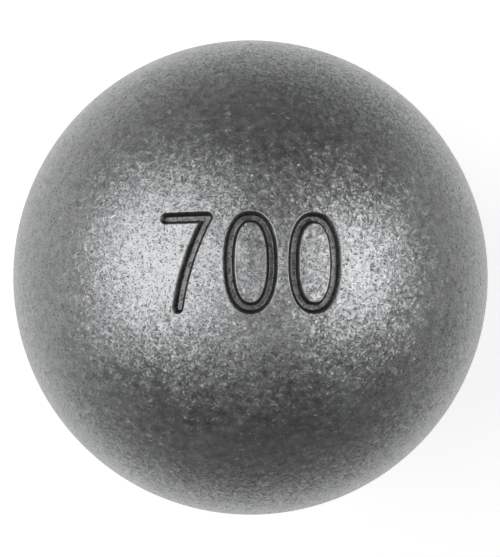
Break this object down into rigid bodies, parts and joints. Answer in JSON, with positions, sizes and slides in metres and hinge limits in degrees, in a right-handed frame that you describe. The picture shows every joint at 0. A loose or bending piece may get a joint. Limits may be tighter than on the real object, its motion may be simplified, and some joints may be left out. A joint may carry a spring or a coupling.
{
  "type": "petanque boule",
  "caption": "Hollow steel ball for petanque: two forged half shells welded at the equator and turned to a true sphere, for throwing by hand.",
  "frame": {"origin": "the centre of the ball", "axes": "+Z through the pole of the upper shell, where the engraved figures are, at right angles to the plane of the weld; +Y towards the top of the figures and +X to their right"},
  "size_m": [0.074, 0.074, 0.074],
  "materials": {
    "shell_steel": "satin",
    "weld_steel": "satin"
  },
  "bodies": {
    "root": {"upper_shell": "shell_steel", "lower_shell": "shell_steel", "weld_bead": "weld_steel"}
  },
  "joints": []
}
